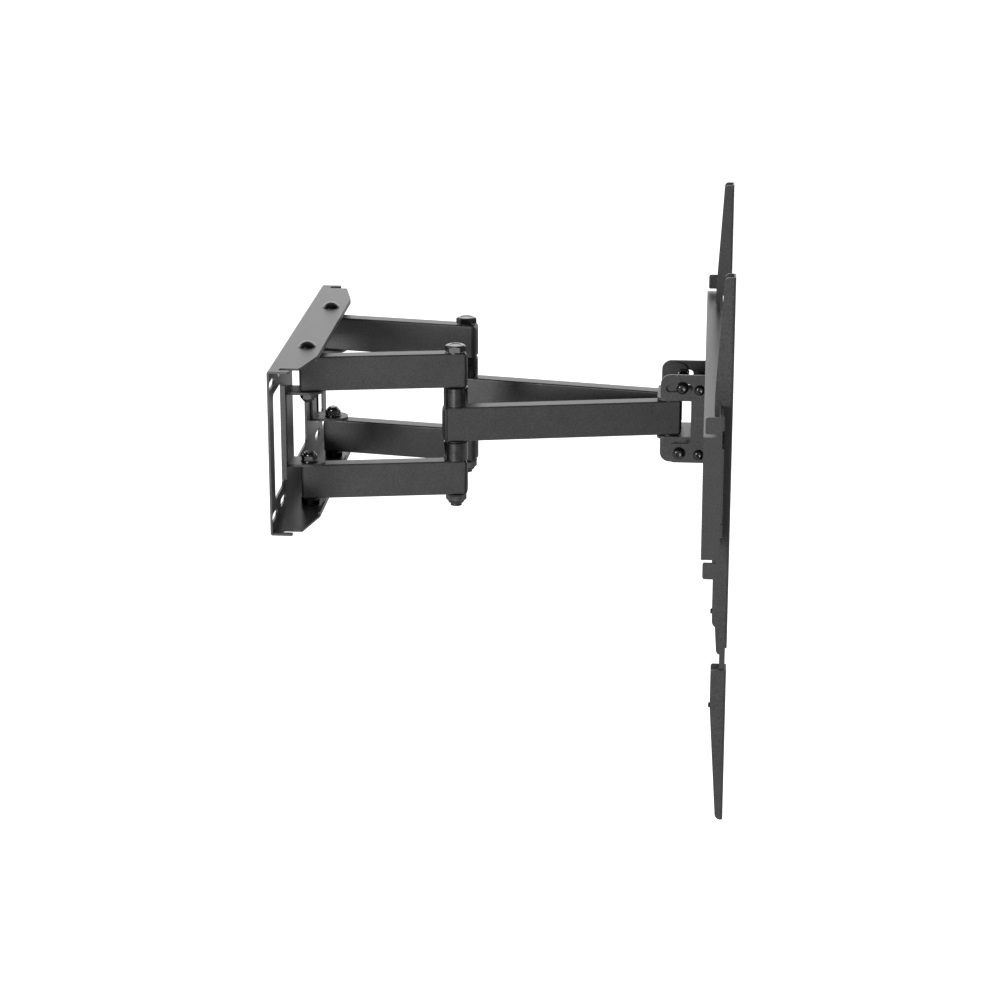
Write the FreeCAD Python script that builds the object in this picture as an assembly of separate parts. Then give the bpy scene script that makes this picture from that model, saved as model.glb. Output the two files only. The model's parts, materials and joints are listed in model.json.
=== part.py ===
import FreeCAD, Part
import math
import os

# Full motion wall mount: a wall plate, two folding double arms, a tilting head
# and a TV plate with two slotted uprights. Millimetres.
# Origin: centre of the wall plate's back face. +X from the wall to the screen, +Z up.

SHEET = 2.5                 # pressed sheet of both plates
STRAP = 3.0                 # brackets at the pivots and the tilt head
RUN_FIT = 0.05              # radial clearance of a pin that turns in its bore
HOLE_GAP = 0.1              # radial clearance of a bolt that stays still

# wall plate
WALL_HALF_W = 220.0
WALL_HALF_H = 99.0
WALL_FLANGE = 47.6          # depth of the top and bottom flange
WALL_LIP = 6.0
FINGER_X = 25.6
FINGER_W = 6.5
NOTCH_W = 9.5
NOTCH_X = 12.7
CHAMFER_X = 35.0
CHAMFER_Y = 146.0
WINDOW_HALF_H = 64.0
WINDOW_MIDDLE = 52.0        # half width of the middle window
WINDOW_OUTER = (131.0, 193.0)
WINDOW_RETURN = 6.0         # how far an outer window's inner edge is folded forward
LAG_ROW = 80.0
LAG_Y = (140.0, 200.0)
LAG_LENGTH = 36.0
LAG_WIDTH = 10.0

# the arms
ARM_W = 20.0
ARM_H = 42.0
ARM_WALL = 2.0
WALL_PIVOT = (29.0, 100.0)
ELBOW = (203.0, 70.0)
HEAD_PIVOT = (459.0, 20.0)
ARM_TOP = 88.0              # top of the upper arm, and minus this under the lower arm
ARM_END = 9.0               # steel of a tube past its elbow or head pivot
WALL_END = 8.0              # steel of an arm past its wall pivot
FOREARM_TAIL = 11.0         # steel of a forearm past its elbow
CAP_BULGE = 5.5
CAP_FLAT = 2.4
CAP_EDGE = 1.2
CAP_PLUG = 7.0
CAP_GAP = 0.15

# pivots
WALL_BOLT_R = 5.0
WALL_BUSH_R = 7.0
DOME_R = 10.25
DOME_H = 6.5
ELBOW_BOLT_R = 7.0
ELBOW_BUSH_R = 7.9
ELBOW_AF = 22.0
SPACER_R = 14.5
HEAD_BOLT_R = 4.0
HEAD_BUSH_R = 6.5
EAR_REACH = 48.0
EAR_HALF_W = 17.0

# tilt head
HEAD_BACK = 444.0
HEAD_FRONT = 490.0
HEAD_HALF_W = 32.7
HEAD_FLANGE = 22.5          # underside of the head bracket's top flange
WASHER_H = 1.0
TILT_X = 471.0
TILT_Z = -42.0
LOCK_X = 474.0
LOCK_Z = 40.0
YOKE_IN = 33.0              # inner face of a yoke cheek
TILT_BOLT_R = 4.0
TILT_DOWN = 10.2            # degrees that the slot leaves each way
TILT_UP = 5.2
TILT_HEAD_R = 7.5
TILT_AF = 13.0
WING_TOP = 54.0
CHEEK_BACK = 448.0
CHEEK_TOP = 56.0
CHEEK_LOW = -54.0
CHEEK_NECK = 485.0          # rear edge of a cheek between its two arms
TAB_X = 495.0
TAB_Z = (37.5, -43.6)
TAB_BACK = 490.3
TAB_HALF = 8.0
TAB_HOLE_R = 3.1
BASE_LOW = -52.0
BASE_TOP = 50.0
BASE_Y = 17.0               # screws from the yoke to the TV plate
BASE_Z = (-36.0, 34.0)
BASE_HOLE_R = 4.1
BASE_TIP = 529.0

# TV plate
TV_HALF_W = 350.0
TV_HALF_H = 70.5
TV_BACK = 501.0
TV_WEB = 519.0
RAIL_TOP = 86.0
EAR_Z = (74.0, 93.0)
EAR_BACK = 503.0
EAR_W = 9.0
TV_WINDOW = (62.0, 190.0)
TV_WINDOW_HALF_H = 42.0

# uprights
UPRIGHT_Y = 267.0
UPRIGHT_HALF_W = 11.0
UPRIGHT_T = 2.0
UPRIGHT_BEND = 3.0
SCREEN = 533.0              # the face that meets the screen
UPRIGHT_TOP = 232.0
UPRIGHT_END = -201.0
FLANGE_BACK = 524.5         # rear edge of the flanges where they are shallow
TOP_BACK = 521.0            # rear edge at the top of an upright
HOOK_BACK = 512.8           # rear edge of the hook over the TV plate
LOWER_BACK = 515.0
TONGUE_TOP = -146.0
TONGUE_LAP = 22.0           # the tongue's length inside the extension
EXTENSION_FULL = -228.0
EXTENSION_END = -414.0
VESA_Z = (212.0, -188.0, -388.0)
VESA_R = 4.3
SLOT_LENGTH = 34.0
UPRIGHT_SLOTS = (172.0, 128.0, 84.0, 40.0, -4.0, -48.0, -92.0)
EXTENSION_SLOTS = (-318.0, -356.0)
SHORT_SLOT = (-133.0, 20.0)
JOIN_Z = (-160.0, -275.0)   # bolts from an upright to its extension
JOIN_HOLE_R = 3.1
JOIN_BOLT_R = 3.0
JOIN_TIP = 513.0

SIDES = {"left": -1.0, "right": 1.0}
UP = FreeCAD.Vector(0, 0, 1)


def save(name, shape):
    shape.exportStep("parts/" + name + ".step")


def together(solids):
    return Part.makeCompound(solids)


def box(x0, x1, y0, y1, z0, z1):
    return Part.makeBox(x1 - x0, y1 - y0, z1 - z0, FreeCAD.Vector(x0, y0, z0))


def rod(x, y, z0, z1, radius):
    return Part.makeCylinder(radius, z1 - z0, FreeCAD.Vector(x, y, z0), UP)


def rod_y(x, z, y0, y1, radius):
    return Part.makeCylinder(radius, y1 - y0, FreeCAD.Vector(x, y0, z), FreeCAD.Vector(0, 1, 0))


def rod_x(y, z, x0, x1, radius):
    return Part.makeCylinder(radius, x1 - x0, FreeCAD.Vector(x0, y, z), FreeCAD.Vector(1, 0, 0))


def ring(x, y, z0, z1, outer, inner):
    return rod(x, y, z0, z1, outer).cut(rod(x, y, z0 - 1, z1 + 1, inner))


def mirror_y(shape):
    return shape.mirror(FreeCAD.Vector(0, 0, 0), FreeCAD.Vector(0, 1, 0))


def mirror_z(shape):
    return shape.mirror(FreeCAD.Vector(0, 0, 0), UP)


def on_side(side, shape):
    # everything is drawn on the right, at +Y
    return shape if side > 0 else mirror_y(shape)


def rounded(points):
    # closed outline through (u, v, radius) corners, with a tangent arc at each radius
    edges = []
    ends = []
    count = len(points)
    for i in range(count):
        corner = FreeCAD.Vector(points[i][0], points[i][1], 0)
        radius = points[i][2]
        before = FreeCAD.Vector(points[i - 1][0], points[i - 1][1], 0)
        after = FreeCAD.Vector(points[(i + 1) % count][0], points[(i + 1) % count][1], 0)
        to_before = (before - corner).normalize()
        to_after = (after - corner).normalize()
        if radius <= 0:
            ends.append((corner, corner))
            continue
        half = to_before.getAngle(to_after) / 2
        reach = radius / math.tan(half)
        first = corner + to_before * reach
        last = corner + to_after * reach
        middle = (to_before + to_after).normalize()
        centre = corner + middle * (radius / math.sin(half))
        edges.append(Part.Arc(first, centre - middle * radius, last).toShape())
        ends.append((first, last))
    for i in range(count):
        start = ends[i][1]
        stop = ends[(i + 1) % count][0]
        if start.distanceToPoint(stop) > 1e-6:
            edges.append(Part.LineSegment(start, stop).toShape())
    return Part.Wire(Part.__sortEdges__(edges))


def plate_xy(points, z0, z1):
    face = Part.Face(rounded(points))
    face.translate(FreeCAD.Vector(0, 0, z0))
    return face.extrude(FreeCAD.Vector(0, 0, z1 - z0))


def plate_xz(points, y0, y1):
    # points are (x, z, radius)
    face = Part.Face(rounded(points))
    face.rotate(FreeCAD.Vector(0, 0, 0), FreeCAD.Vector(1, 0, 0), 90)
    face.translate(FreeCAD.Vector(0, y0, 0))
    return face.extrude(FreeCAD.Vector(0, y1 - y0, 0))


def window_x(y0, y1, z0, z1, x0, x1, radius):
    # rounded opening through a plate that faces X
    points = [(y0, z0, radius), (y1, z0, radius), (y1, z1, radius), (y0, z1, radius)]
    face = Part.Face(rounded(points))
    face.rotate(FreeCAD.Vector(0, 0, 0), FreeCAD.Vector(1, 1, 1), 120)
    face.translate(FreeCAD.Vector(x0, 0, 0))
    return face.extrude(FreeCAD.Vector(x1 - x0, 0, 0))


def hexagon(x, y, z0, z1, across, turn=0.0):
    radius = across / math.sqrt(3)
    corners = []
    for i in range(6):
        angle = math.radians(60 * i + turn)
        corners.append((x + radius * math.cos(angle), y + radius * math.sin(angle), 0))
    block = plate_xy(corners, z0, z1)
    # 30 degree chamfer on the upper corners
    drop = (radius - across / 2) * math.tan(math.radians(30))
    cone_low = z1 - drop - (radius - across / 2)
    cone_r = across / 2 + (z1 - cone_low) / math.tan(math.radians(30))
    cone = Part.makeCone(cone_r, across / 2, z1 - cone_low, FreeCAD.Vector(x, y, cone_low), UP)
    trunk = rod(x, y, z0, cone_low, radius + 1)
    return block.common(trunk.fuse(cone))


def dome(x, y, z, radius, height):
    # shallow spherical cap standing on z
    sphere_r = (radius * radius + height * height) / (2 * height)
    ball = Part.makeSphere(sphere_r, FreeCAD.Vector(x, y, z + height - sphere_r))
    return ball.common(box(x - radius, x + radius, y - radius, y + radius, z, z + height + 1))


def lock_nut(x, y, z, across, height, bore):
    # a nut that stands on z with its nylon collar on top
    collar = 0.3 * height
    body = hexagon(x, y, z, z + height - collar, across)
    top = rod(x, y, z + height - collar, z + height, across / 2 - 1.2)
    return body.fuse(top).cut(rod(x, y, z - 1, z + height + 1, bore))


def slotted(y, z, length, width):
    half = length / 2
    return window_x(y - half, y + half, z - width / 2, z + width / 2, -1, SHEET + 1, width / 2 - 0.01)


# ---------------------------------------------------------------- wall side

def wall_flange():
    notch_in = WALL_HALF_W - FINGER_W - NOTCH_W
    half = [
        (WALL_FLANGE, CHAMFER_Y, 3.0), (CHAMFER_X, notch_in, 2.0), (NOTCH_X, notch_in, 3.0),
        (NOTCH_X, WALL_HALF_W - FINGER_W, 3.0), (FINGER_X, WALL_HALF_W - FINGER_W, 1.0),
        (FINGER_X, WALL_HALF_W, 1.5), (0.0, WALL_HALF_W, 0.0),
    ]
    other = [(x, -y, r) for x, y, r in reversed(half)]
    top = plate_xy(half + other, WALL_HALF_H - SHEET, WALL_HALF_H)
    lip = box(WALL_FLANGE - SHEET, WALL_FLANGE, -CHAMFER_Y, CHAMFER_Y,
              WALL_HALF_H - WALL_LIP, WALL_HALF_H - SHEET)
    flange = top.fuse(lip)
    for side in SIDES.values():
        flange = flange.cut(rod(WALL_PIVOT[0], side * WALL_PIVOT[1], 0, 200, WALL_BOLT_R + HOLE_GAP))
    return flange


def bend_edges(shape, x, z):
    # the long edges at a bend, to be rounded
    found = []
    for edge in shape.Edges:
        bounds = edge.BoundBox
        if edge.Length > 50 and abs(bounds.XMin - x) < 1e-6 and abs(bounds.XMax - x) < 1e-6:
            if abs(abs(bounds.ZMin) - z) < 1e-6 and bounds.ZLength < 1e-6:
                found.append(edge)
    return found


def wall_plate():
    plate = box(0, SHEET, -WALL_HALF_W, WALL_HALF_W, -WALL_HALF_H + SHEET, WALL_HALF_H - SHEET)
    flange = wall_flange()
    plate = plate.fuse([flange, mirror_z(flange)])
    half_h = WINDOW_HALF_H
    cuts = [window_x(-WINDOW_MIDDLE, WINDOW_MIDDLE, -half_h, half_h, -1, SHEET + 1, 6)]
    returns = []
    for side in SIDES.values():
        outer = sorted((side * WINDOW_OUTER[0], side * WINDOW_OUTER[1]))
        cuts.append(window_x(outer[0], outer[1], -half_h, half_h, -1, SHEET + 1, 6))
        for y in LAG_Y:
            cuts.append(slotted(side * y, LAG_ROW, LAG_LENGTH, LAG_WIDTH))
            cuts.append(slotted(side * y, -LAG_ROW, LAG_LENGTH, LAG_WIDTH))
        # the sheet beside each bar is folded forward as a stiffener
        near, far = sorted((side * WINDOW_OUTER[0], side * (WINDOW_OUTER[0] - SHEET)))
        returns.append(box(SHEET, WINDOW_RETURN, near, far, 6 - half_h, half_h - 6))
    plate = plate.cut(cuts).fuse(returns).removeSplitter()
    return plate.makeFillet(SHEET, bend_edges(plate, 0, WALL_HALF_H))


def pivot_bracket():
    # a C of strap welded to the wall plate, one ear for each arm
    x, y = WALL_PIVOT
    low = y - EAR_HALF_W
    high = y + EAR_HALF_W
    ear_in = ARM_TOP - ARM_H - STRAP
    points = [(SHEET, low, 0), (EAR_REACH, low, EAR_HALF_W - 0.5), (EAR_REACH, high, EAR_HALF_W - 0.5),
              (SHEET, high, 0)]
    ear = plate_xy(points, ear_in, ear_in + STRAP)
    ear = ear.cut(rod(x, y, 0, 100, WALL_BOLT_R + HOLE_GAP))
    web = box(SHEET, SHEET + STRAP, low, high, -ear_in, ear_in)
    return web.fuse([ear, mirror_z(ear)]).removeSplitter()


def wall_bolt(side):
    x = WALL_PIVOT[0]
    y = side * WALL_PIVOT[1]
    shank = rod(x, y, ARM_TOP - ARM_H - STRAP - 16, WALL_HALF_H, WALL_BOLT_R)
    return shank.fuse(dome(x, y, WALL_HALF_H, DOME_R, DOME_H))


def wall_nut(side):
    # stands on the inside of its ear, collar towards the middle
    ear_in = ARM_TOP - ARM_H - STRAP
    return lock_nut(WALL_PIVOT[0], side * WALL_PIVOT[1], -ear_in, 17.0, 13.0, WALL_BOLT_R + RUN_FIT)


def wall_spacer(side):
    return ring(WALL_PIVOT[0], side * WALL_PIVOT[1], ARM_TOP, WALL_HALF_H - SHEET, 11.0,
                WALL_BOLT_R + HOLE_GAP)


def both_ends(maker):
    # four copies: both sides, and the same turned over for the lower arms
    solids = []
    for side in SIDES.values():
        solid = maker(side)
        solids += [solid, mirror_z(solid)]
    return together(solids)


# ---------------------------------------------------------------- arms

def arm_length(start, end):
    return math.hypot(end[0] - start[0], end[1] - start[1])


def place_arm(shape, start, end):
    # from along +X at the origin to the line between two pivots
    angle = math.degrees(math.atan2(end[1] - start[1], end[0] - start[0]))
    shape.rotate(FreeCAD.Vector(0, 0, 0), UP, angle)
    shape.translate(FreeCAD.Vector(start[0], start[1], 0))
    return shape


def square_tube(first, last, z0):
    half = ARM_W / 2
    outer = box(first, last, -half, half, z0, z0 + ARM_H)
    long_edges = [e for e in outer.Edges if abs(e.Length - (last - first)) < 1e-6]
    outer = outer.makeFillet(2.0, long_edges)
    bore = half - ARM_WALL
    inner = box(first - 1, last + 1, -bore, bore, z0 + ARM_WALL, z0 + ARM_H - ARM_WALL)
    return outer.cut(inner)


def cap_head(bulge):
    # outline of a cap's head, flat against the tube and bulged outwards
    half = ARM_W / 2
    arc = Part.Arc(FreeCAD.Vector(CAP_EDGE, -half, 0), FreeCAD.Vector(bulge, 0, 0),
                   FreeCAD.Vector(CAP_EDGE, half, 0))
    corners = [(CAP_EDGE, half), (0, half), (0, -half), (CAP_EDGE, -half)]
    sides = []
    for i in range(3):
        start = FreeCAD.Vector(corners[i][0], corners[i][1], 0)
        stop = FreeCAD.Vector(corners[i + 1][0], corners[i + 1][1], 0)
        sides.append(Part.LineSegment(start, stop).toShape())
    return Part.Face(Part.Wire(Part.__sortEdges__([arc.toShape()] + sides)))


def end_cap(at, direction, z0, bulge):
    # plastic plug in the open end of a tube
    head = cap_head(bulge)
    head.translate(FreeCAD.Vector(0, 0, z0))
    head = head.extrude(FreeCAD.Vector(0, 0, ARM_H))
    inner = ARM_W / 2 - ARM_WALL - CAP_GAP
    low = z0 + ARM_WALL + CAP_GAP
    high = z0 + ARM_H - ARM_WALL - CAP_GAP
    plug = box(-CAP_PLUG, 0, -inner, inner, low, high)
    hollow = box(-CAP_PLUG - 1, -1, -inner + 1.6, inner - 1.6, low + 1.6, high - 1.6)
    cap = head.fuse(plug).cut(hollow)
    if direction < 0:
        cap = cap.mirror(FreeCAD.Vector(0, 0, 0), FreeCAD.Vector(1, 0, 0))
    cap.translate(FreeCAD.Vector(at, 0, 0))
    return cap


def fork_arm():
    length = arm_length(WALL_PIVOT, ELBOW)
    z0 = ARM_TOP - ARM_H
    arm = square_tube(-WALL_END, length + ARM_END, z0)
    arm = arm.cut([rod(0, 0, z0 - 1, ARM_TOP + 1, WALL_BUSH_R + RUN_FIT),
                   rod(length, 0, z0 - 1, ARM_TOP + 1, ELBOW_BOLT_R + HOLE_GAP)])
    return place_arm(arm, WALL_PIVOT, ELBOW)


def fork_caps():
    length = arm_length(WALL_PIVOT, ELBOW)
    z0 = ARM_TOP - ARM_H
    caps = []
    bores = [rod(0, 0, z0, ARM_TOP, WALL_BUSH_R + 0.3), rod(length, 0, z0, ARM_TOP, ELBOW_BOLT_R + 0.3)]
    for at, direction, bulge in ((-WALL_END, -1, CAP_FLAT), (length + ARM_END, 1, CAP_BULGE)):
        cap = end_cap(at, direction, z0, bulge).cut(bores)
        cap = place_arm(cap, WALL_PIVOT, ELBOW)
        caps += [cap, mirror_z(cap)]
    return together(caps)


def fork_bushes():
    x, y = WALL_PIVOT
    bush = ring(x, y, ARM_TOP - ARM_H, ARM_TOP, WALL_BUSH_R, WALL_BOLT_R + RUN_FIT)
    return together([bush, mirror_z(bush)])


def elbow_bolt():
    x, y = ELBOW
    shank = rod(x, y, -ARM_TOP - 15.5, ARM_TOP, ELBOW_BOLT_R)
    head = hexagon(x, y, ARM_TOP + 1.2, ARM_TOP + 8.8, ELBOW_AF, 10)
    collar = rod(x, y, ARM_TOP, ARM_TOP + 1.2, ELBOW_AF / 2 + 1.2)
    return shank.fuse([head, collar])


def elbow_nut():
    nut = lock_nut(ELBOW[0], ELBOW[1], ARM_TOP, ELBOW_AF, 12.0, ELBOW_BOLT_R + RUN_FIT)
    return mirror_z(nut)


def elbow_spacers():
    spacer = ring(ELBOW[0], ELBOW[1], ARM_H / 2 + WASHER_H, ARM_TOP - ARM_H, SPACER_R,
                  ELBOW_BOLT_R + HOLE_GAP)
    return together([spacer, mirror_z(spacer)])


def elbow_washers():
    washer = ring(ELBOW[0], ELBOW[1], ARM_H / 2, ARM_H / 2 + WASHER_H, SPACER_R - 1.5,
                  ELBOW_BOLT_R + RUN_FIT)
    return together([washer, mirror_z(washer)])


def play_slot(z0, z1):
    # room at the right head pivot: the two arms turn in a fixed ratio, which is a little off
    length = arm_length(ELBOW, HEAD_PIVOT)
    half = 7.3
    points = [(length - 7.5, -half, 7.2), (length + 12.0, -half, 2), (length + 12.0, half, 2),
              (length - 7.5, half, 7.2)]
    return plate_xy(points, z0, z1)


def forearm(loose):
    length = arm_length(ELBOW, HEAD_PIVOT)
    half = ARM_H / 2
    arm = square_tube(-FOREARM_TAIL, length + ARM_END, -half)
    bore = rod(length, 0, -half - 1, half + 1, HEAD_BUSH_R + RUN_FIT)
    if loose:
        bore = play_slot(-half - 1, half + 1)
    arm = arm.cut([rod(0, 0, -half - 1, half + 1, ELBOW_BUSH_R + RUN_FIT), bore])
    return place_arm(arm, ELBOW, HEAD_PIVOT)


def forearm_caps(loose):
    length = arm_length(ELBOW, HEAD_PIVOT)
    elbow_cap = end_cap(-FOREARM_TAIL, -1, -ARM_H / 2, CAP_BULGE)
    elbow_cap = elbow_cap.cut(rod(0, 0, -30, 30, ELBOW_BUSH_R + 0.3))
    room = play_slot(-30, 30) if loose else rod(length, 0, -30, 30, HEAD_BUSH_R + 0.3)
    head_cap = end_cap(length + ARM_END, 1, -ARM_H / 2, CAP_BULGE).cut(room)
    return together([place_arm(elbow_cap, ELBOW, HEAD_PIVOT), place_arm(head_cap, ELBOW, HEAD_PIVOT)])


def forearm_bush(at, outer, inner):
    return ring(at[0], at[1], -ARM_H / 2, ARM_H / 2, outer, inner + RUN_FIT)


# ---------------------------------------------------------------- tilt head

def head_bracket():
    # a channel round the two forearms, with a wing folded out at each corner
    width = HEAD_HALF_W
    high = HEAD_FLANGE + STRAP
    rear = [(HEAD_BACK, -width, 9), (HEAD_FRONT, -width, 1), (HEAD_FRONT, width, 1), (HEAD_BACK, width, 9)]
    flange = plate_xy(rear, HEAD_FLANGE, high)
    upper = [(452, high, 0), (480, high, 0), (480, WING_TOP, 12), (452, WING_TOP, 12)]
    lower = [(448, -high, 0), (480, -high, 0), (480, -WING_TOP, 10), (448, -WING_TOP, 12)]
    wings = []
    for side in SIDES.values():
        inner, outer = sorted((side * (width - STRAP), side * width))
        wings.append(plate_xz(upper, inner, outer))
        wings.append(plate_xz(lower, inner, outer))
        flange = flange.cut(rod(HEAD_PIVOT[0], side * HEAD_PIVOT[1], 0, 50, HEAD_BOLT_R + HOLE_GAP))
    web = box(HEAD_FRONT - STRAP, HEAD_FRONT, 3.2 - width, width - 3.2, -HEAD_FLANGE, HEAD_FLANGE)
    bracket = web.fuse([flange, mirror_z(flange)] + wings)
    bracket = bracket.cut([rod_y(LOCK_X, LOCK_Z, -50, 50, TILT_BOLT_R + HOLE_GAP),
                           rod_y(TILT_X, TILT_Z, -50, 50, TILT_BOLT_R + HOLE_GAP)])
    return bracket.removeSplitter()


def head_bolt(side):
    x, y = HEAD_PIVOT[0], side * HEAD_PIVOT[1]
    high = HEAD_FLANGE + STRAP
    shank = rod(x, y, -high - 9, high, HEAD_BOLT_R)
    collar = rod(x, y, high, high + 1.0, 8.0)
    return shank.fuse([collar, hexagon(x, y, high + 1.0, high + 6.0, 13.0)])


def head_nut(side):
    nut = lock_nut(HEAD_PIVOT[0], side * HEAD_PIVOT[1], HEAD_FLANGE + STRAP, 13.0, 7.5,
                   HEAD_BOLT_R + RUN_FIT)
    return mirror_z(nut)


def head_washers():
    solids = []
    for side in SIDES.values():
        washer = ring(HEAD_PIVOT[0], side * HEAD_PIVOT[1], ARM_H / 2, HEAD_FLANGE, 10.0,
                      HEAD_BOLT_R + RUN_FIT)
        solids += [washer, mirror_z(washer)]
    return together(solids)


def screw_y(x, z, head_r, shank_r, face, tip):
    # button head screw standing off a face at +Y, with a hexagon socket
    head = dome(0, 0, 0, head_r, 0.6 * head_r)
    socket = hexagon(0, 0, 1.2, 10, 1.1 * shank_r)
    head = head.cut(socket)
    head.rotate(FreeCAD.Vector(0, 0, 0), FreeCAD.Vector(1, 0, 0), -90)
    head.translate(FreeCAD.Vector(x, face, z))
    return head.fuse(rod_y(x, z, tip, face, shank_r))


def nut_y(x, z, face, height, across, bore):
    # hexagon nut on the inside of a face at +Y
    nut = hexagon(0, 0, 0, height, across, 30).cut(rod(0, 0, -1, height + 1, bore))
    nut.rotate(FreeCAD.Vector(0, 0, 0), FreeCAD.Vector(1, 0, 0), 90)
    nut.translate(FreeCAD.Vector(x, face, z))
    return nut


def each_side(maker):
    return together([on_side(side, maker()) for side in SIDES.values()])


def tilt_screws(x, z):
    cheek = YOKE_IN + STRAP
    return each_side(lambda: screw_y(x, z, TILT_HEAD_R, TILT_BOLT_R, cheek + WASHER_H, 22.0))


def tilt_washers():
    cheek = YOKE_IN + STRAP
    solids = []
    for x, z in ((LOCK_X, LOCK_Z), (TILT_X, TILT_Z)):
        washer = rod_y(x, z, cheek, cheek + WASHER_H, TILT_HEAD_R)
        washer = washer.cut(rod_y(x, z, 0, 50, TILT_BOLT_R + RUN_FIT))
        solids += [washer, mirror_y(washer)]
    return together(solids)


def tilt_nuts():
    solids = []
    for x, z in ((LOCK_X, LOCK_Z), (TILT_X, TILT_Z)):
        nut = nut_y(x, z, HEAD_HALF_W - STRAP, 6.5, TILT_AF, TILT_BOLT_R + RUN_FIT)
        solids += [nut, mirror_y(nut)]
    return together(solids)


def polar(angle, radius):
    # a point round the tilt pivot, angle in degrees from straight up towards +X
    turn = math.radians(angle)
    return FreeCAD.Vector(TILT_X + radius * math.sin(turn), 0, TILT_Z + radius * math.cos(turn))


def tilt_slot():
    reach = math.hypot(LOCK_X - TILT_X, LOCK_Z - TILT_Z)
    rest = math.degrees(math.atan2(LOCK_X - TILT_X, LOCK_Z - TILT_Z))
    half = TILT_BOLT_R + 1.2
    first = rest - TILT_DOWN
    last = rest + TILT_UP
    middle = (first + last) / 2
    end = math.degrees(half / reach)
    arcs = [
        Part.Arc(polar(first, reach + half), polar(middle, reach + half), polar(last, reach + half)),
        Part.Arc(polar(last, reach + half), polar(last + end, reach), polar(last, reach - half)),
        Part.Arc(polar(last, reach - half), polar(middle, reach - half), polar(first, reach - half)),
        Part.Arc(polar(first, reach - half), polar(first - end, reach), polar(first, reach + half)),
    ]
    face = Part.Face(Part.Wire([arc.toShape() for arc in arcs]))
    return face.extrude(FreeCAD.Vector(0, 60, 0))


def yoke_cheek():
    points = [
        (CHEEK_BACK, 26, 2), (CHEEK_BACK, CHEEK_TOP, 12), (TV_WEB, CHEEK_TOP, 3), (TV_WEB, CHEEK_LOW, 3),
        (460, CHEEK_LOW, 5), (460, -30, 6), (CHEEK_NECK, -30, 4), (CHEEK_NECK, 26, 4),
    ]
    cheek = plate_xz(points, YOKE_IN, YOKE_IN + STRAP)
    cuts = [tilt_slot(), rod_y(TILT_X, TILT_Z, 20, 50, TILT_BOLT_R + RUN_FIT)]
    cuts += [rod_y(TAB_X, z, 20, 50, TAB_HOLE_R) for z in TAB_Z]
    return cheek.cut(cuts)


def base_places():
    return [(y, z) for y in (-BASE_Y, BASE_Y) for z in BASE_Z]


def yoke_base():
    front = TV_WEB - STRAP
    base = box(front, TV_WEB, -YOKE_IN, YOKE_IN, BASE_LOW, BASE_TOP)
    tabs = []
    for z in TAB_Z:
        low = z - TAB_HALF
        high = z + TAB_HALF
        outline = [(TAB_BACK, low, 3), (front, low, 0), (front, high, 0), (TAB_BACK, high, 3)]
        tab = plate_xz(outline, YOKE_IN - STRAP, YOKE_IN).cut(rod_y(TAB_X, z, 20, 50, TAB_HOLE_R))
        tabs += [tab, mirror_y(tab)]
    holes = [rod_x(y, z, 500, 530, BASE_HOLE_R) for y, z in base_places()]
    return base.fuse(tabs).cut(holes).removeSplitter()


def cheek_screws():
    solids = []
    for z in TAB_Z:
        screw = screw_y(TAB_X, z, 6.5, 3.0, YOKE_IN + STRAP, 24.5)
        nut = nut_y(TAB_X, z, YOKE_IN - STRAP, 4.5, 10.0, 3.05)
        solids += [screw, nut, mirror_y(screw), mirror_y(nut)]
    return together(solids)


def along_x(shape, x, y, z, towards):
    # from standing on the origin along +Z to lying along X
    shape.rotate(FreeCAD.Vector(0, 0, 0), FreeCAD.Vector(0, 1, 0), 90 * towards)
    shape.translate(FreeCAD.Vector(x, y, z))
    return shape


def base_screws():
    solids = []
    front = TV_WEB - STRAP
    for y, z in base_places():
        head = along_x(dome(0, 0, 0, TILT_HEAD_R, 4.5), front, y, z, -1)
        solids.append(head.fuse(rod_x(y, z, front, BASE_TIP, TILT_BOLT_R)))
        nut = hexagon(0, 0, 0, 6.5, TILT_AF).cut(rod(0, 0, -1, 8, TILT_BOLT_R + RUN_FIT))
        solids.append(along_x(nut, TV_WEB + SHEET, y, z, 1))
    return together(solids)


# ---------------------------------------------------------------- TV side

def tv_plate():
    web = box(TV_WEB, TV_WEB + SHEET, -TV_HALF_W, TV_HALF_W, -TV_HALF_H, RAIL_TOP)
    rail = box(TV_BACK, TV_WEB, -TV_HALF_W, TV_HALF_W, TV_HALF_H - SHEET, TV_HALF_H)
    solids = [rail, mirror_z(rail)]
    cuts = []
    for side in SIDES.values():
        inner, outer = sorted((side * (TV_HALF_W - SHEET), side * TV_HALF_W))
        solids.append(box(TV_BACK, TV_WEB, inner, outer, -TV_HALF_H, TV_HALF_H))
        corner = sorted((side * (TV_HALF_W - EAR_W), side * TV_HALF_W))
        tab = box(TV_WEB, TV_WEB + SHEET, corner[0], corner[1], TV_HALF_H, EAR_Z[1])
        low, high = EAR_Z
        outline = [(EAR_BACK, low, 2), (TV_WEB, low, 0), (TV_WEB, high, 0), (EAR_BACK, high, 3)]
        ear = plate_xz(outline, inner, outer)
        solids += [tab, mirror_z(tab), ear, mirror_z(ear)]
        first, last = sorted((side * TV_WINDOW[0], side * TV_WINDOW[1]))
        cuts.append(window_x(first, last, -TV_WINDOW_HALF_H, TV_WINDOW_HALF_H, TV_WEB - 1,
                             TV_WEB + SHEET + 1, 10))
    cuts += [rod_x(y, z, 510, 530, BASE_HOLE_R) for y, z in base_places()]
    plate = web.fuse(solids).cut(cuts).removeSplitter()
    return plate.makeFillet(SHEET, bend_edges(plate, TV_WEB + SHEET, TV_HALF_H))


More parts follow.
